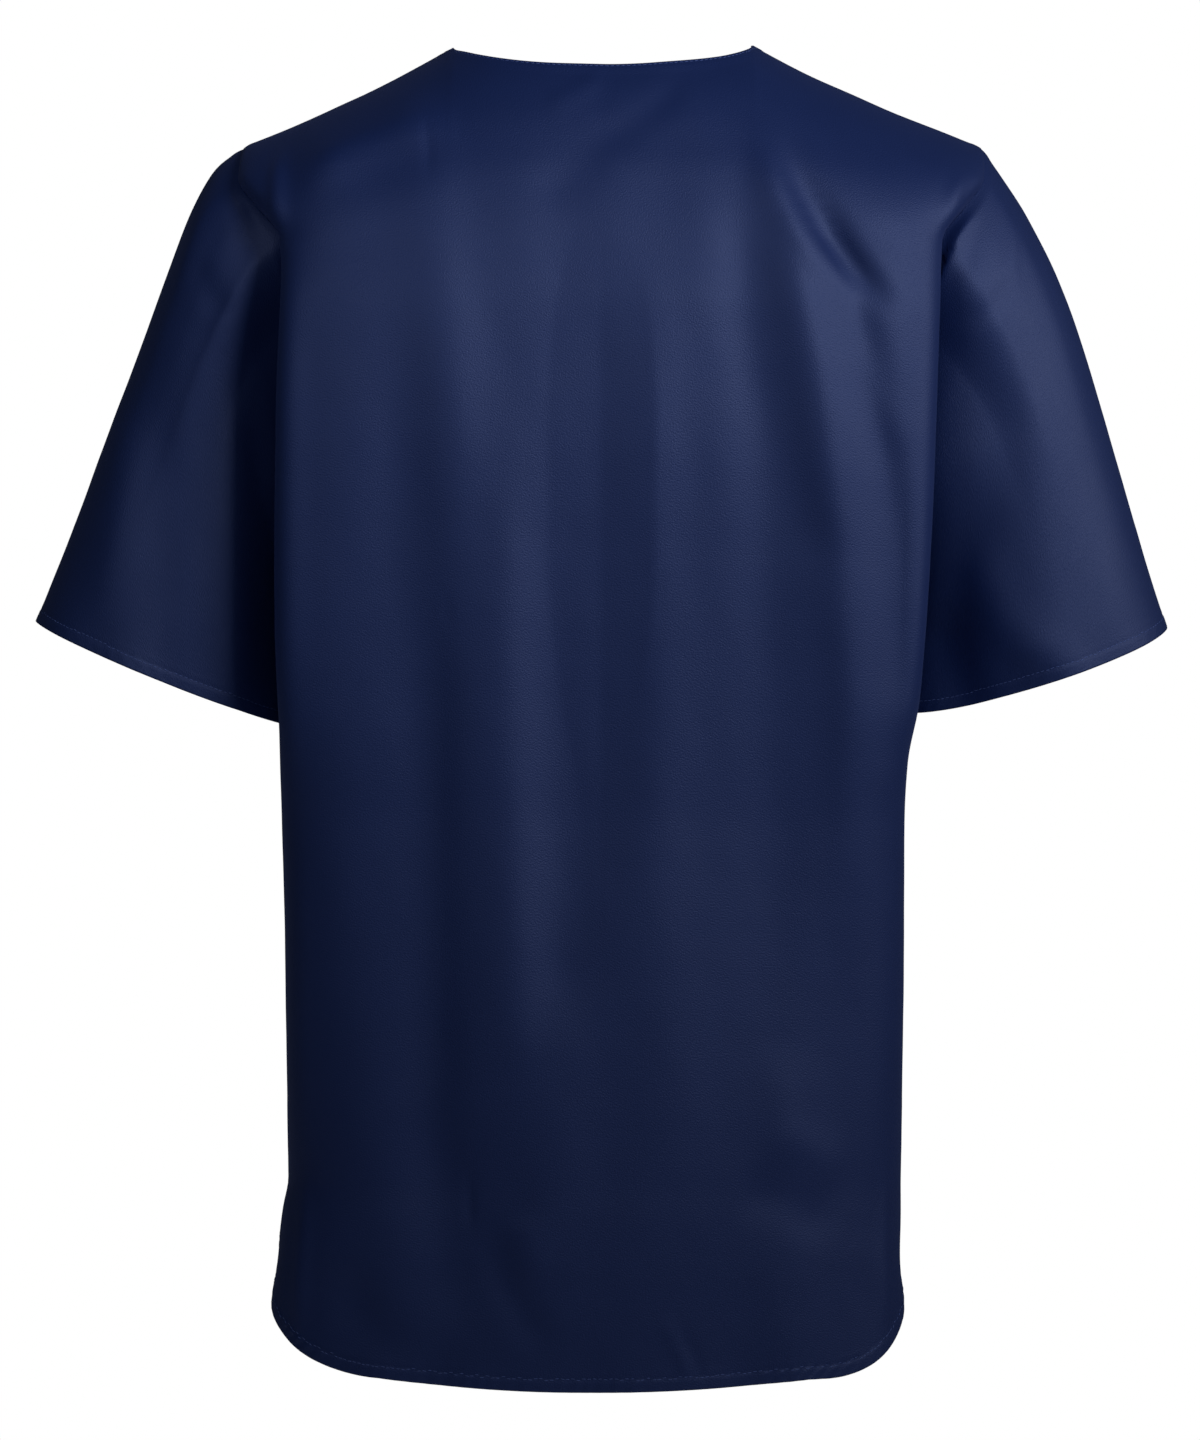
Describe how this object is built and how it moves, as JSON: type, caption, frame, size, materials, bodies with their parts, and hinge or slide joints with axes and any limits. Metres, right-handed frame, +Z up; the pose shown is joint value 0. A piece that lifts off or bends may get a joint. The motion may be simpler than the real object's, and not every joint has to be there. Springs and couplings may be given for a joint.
{
  "type": "medical scrub top",
  "caption": "Short-sleeved pull-on scrub top of navy twill with a V neck, set-in sleeves and side vents, filled out as worn and open at neck, cuffs and hem.",
  "frame": {"origin": "midway between the two neck ends of the shoulder seams, where the wearer's shoulders carry the top", "axes": "+X the wearer's left, +Y out of the back of the garment, +Z up; the front with its V neck faces -Y"},
  "size_m": [0.6497, 0.2555, 0.7596],
  "materials": {
    "twill": "smooth satin-faced twill weave, navy"
  },
  "bodies": {
    "root": {"back_panel": "twill", "front_panel": "twill", "sleeve_left": "twill", "sleeve_right": "twill"}
  },
  "joints": []
}
